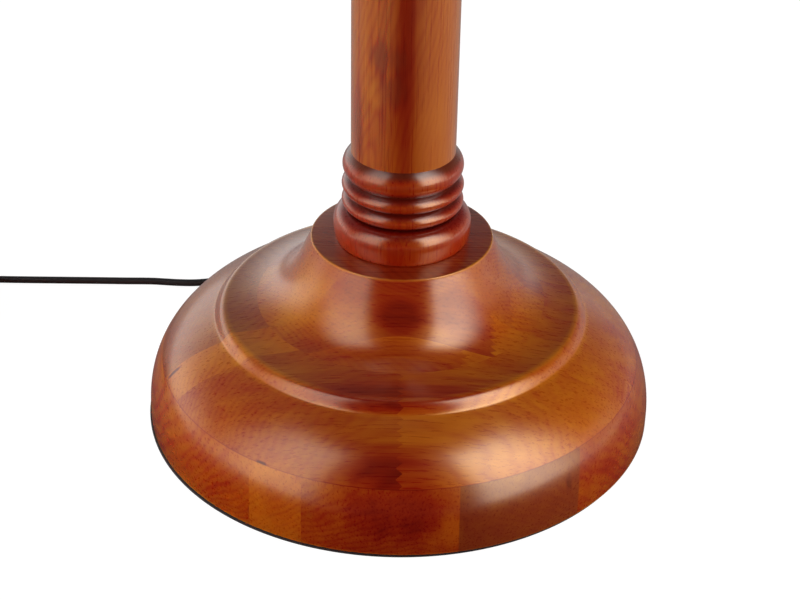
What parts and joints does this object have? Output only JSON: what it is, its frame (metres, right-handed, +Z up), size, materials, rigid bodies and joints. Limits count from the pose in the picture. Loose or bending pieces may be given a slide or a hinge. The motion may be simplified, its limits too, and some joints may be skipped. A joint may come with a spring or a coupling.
{
  "type": "candlestick floor lamp",
  "caption": "Turned wooden floor lamp in the shape of a candlestick: stepped round base, beaded column, drip pan and candle cup, switched lampholder and a tapered fabric shade.",
  "frame": {"origin": "centre of the base's underside, on the floor, on the column's axis", "axes": "+Z up along the column, +Y to the back where the cord leaves, +X to the right seen from the front"},
  "size_m": [0.5981, 0.458, 1.5216],
  "materials": {
    "pad_felt": "matt black felt pad",
    "stained_wood": "red-brown transparent stain under gloss lacquer",
    "cover_board": "raw brown hardboard",
    "ballast_steel": "dark grey raw plate",
    "zinc_steel": "bright zinc",
    "brass": "polished and lacquered",
    "dark_plastic": "moulded, satin",
    "card_liner": "pressed fibre",
    "bulb_metal": "pressed thread",
    "opal_glass": "white opal",
    "shade_linen": "linen laminated on a stiff backing",
    "edging_tape": "woven tape",
    "cord_black": "matt black sheath",
    "gland_black": "moulded",
    "plug_black": "moulded, fine texture",
    "tie_black": "woven hook-and-loop strap",
    "pin_metal": "nickel plated"
  },
  "bodies": {
    "lamp": {"base_pad": "pad_felt", "base_cover": "cover_board", "cover_screws": "zinc_steel", "ballast_plate": "ballast_steel", "ballast_screws": "zinc_steel", "base_lower_layer": "stained_wood", "base_middle_layer": "stained_wood", "base_top_layer": "stained_wood", "bottom_washer": "zinc_steel", "bottom_nut": "zinc_steel", "lamp_tube": "zinc_steel", "foot_collar": "stained_wood", "lower_column": "stained_wood", "joint_ring": "stained_wood", "upper_column": "stained_wood", "top_collar": "stained_wood", "drip_pan": "stained_wood", "candle_cup": "stained_wood", "cup_cap": "brass", "lock_nut": "brass", "harp_saddle": "brass", "harp_ferrules": "brass", "harp": "brass", "finial": "brass", "holder_cap": "brass", "switch_body": "dark_plastic", "switch_contacts": "brass", "holder_liner": "card_liner", "screw_shell": "brass", "holder_shell": "brass", "bulb_base": "bulb_metal", "bulb_glass": "opal_glass", "inner_cable": "cord_black", "cord_gland": "gland_black", "cord": "cord_black", "cord_coil": "cord_black", "cord_tail": "cord_black", "coil_tie": "tie_black", "plug_body": "plug_black", "plug_pins": "pin_metal"},
    "knob": {"switch_knob": "dark_plastic"},
    "shade": {"shade_spider": "brass", "shade_bottom_ring": "brass", "shade_cloth": "shade_linen", "shade_top_tape": "edging_tape", "shade_bottom_tape": "edging_tape"}
  },
  "joints": [
    {"name": "switch_turn", "type": "hinge", "parent": "lamp", "child": "knob", "pos_m": [0, 0, 1.2714], "axis": [0, -1, 0], "continuous": true},
    {"name": "shade_turn", "type": "hinge", "parent": "lamp", "child": "shade", "pos_m": [0, 0, 1.481], "axis": [0, 0, 1], "continuous": true}
  ]
}
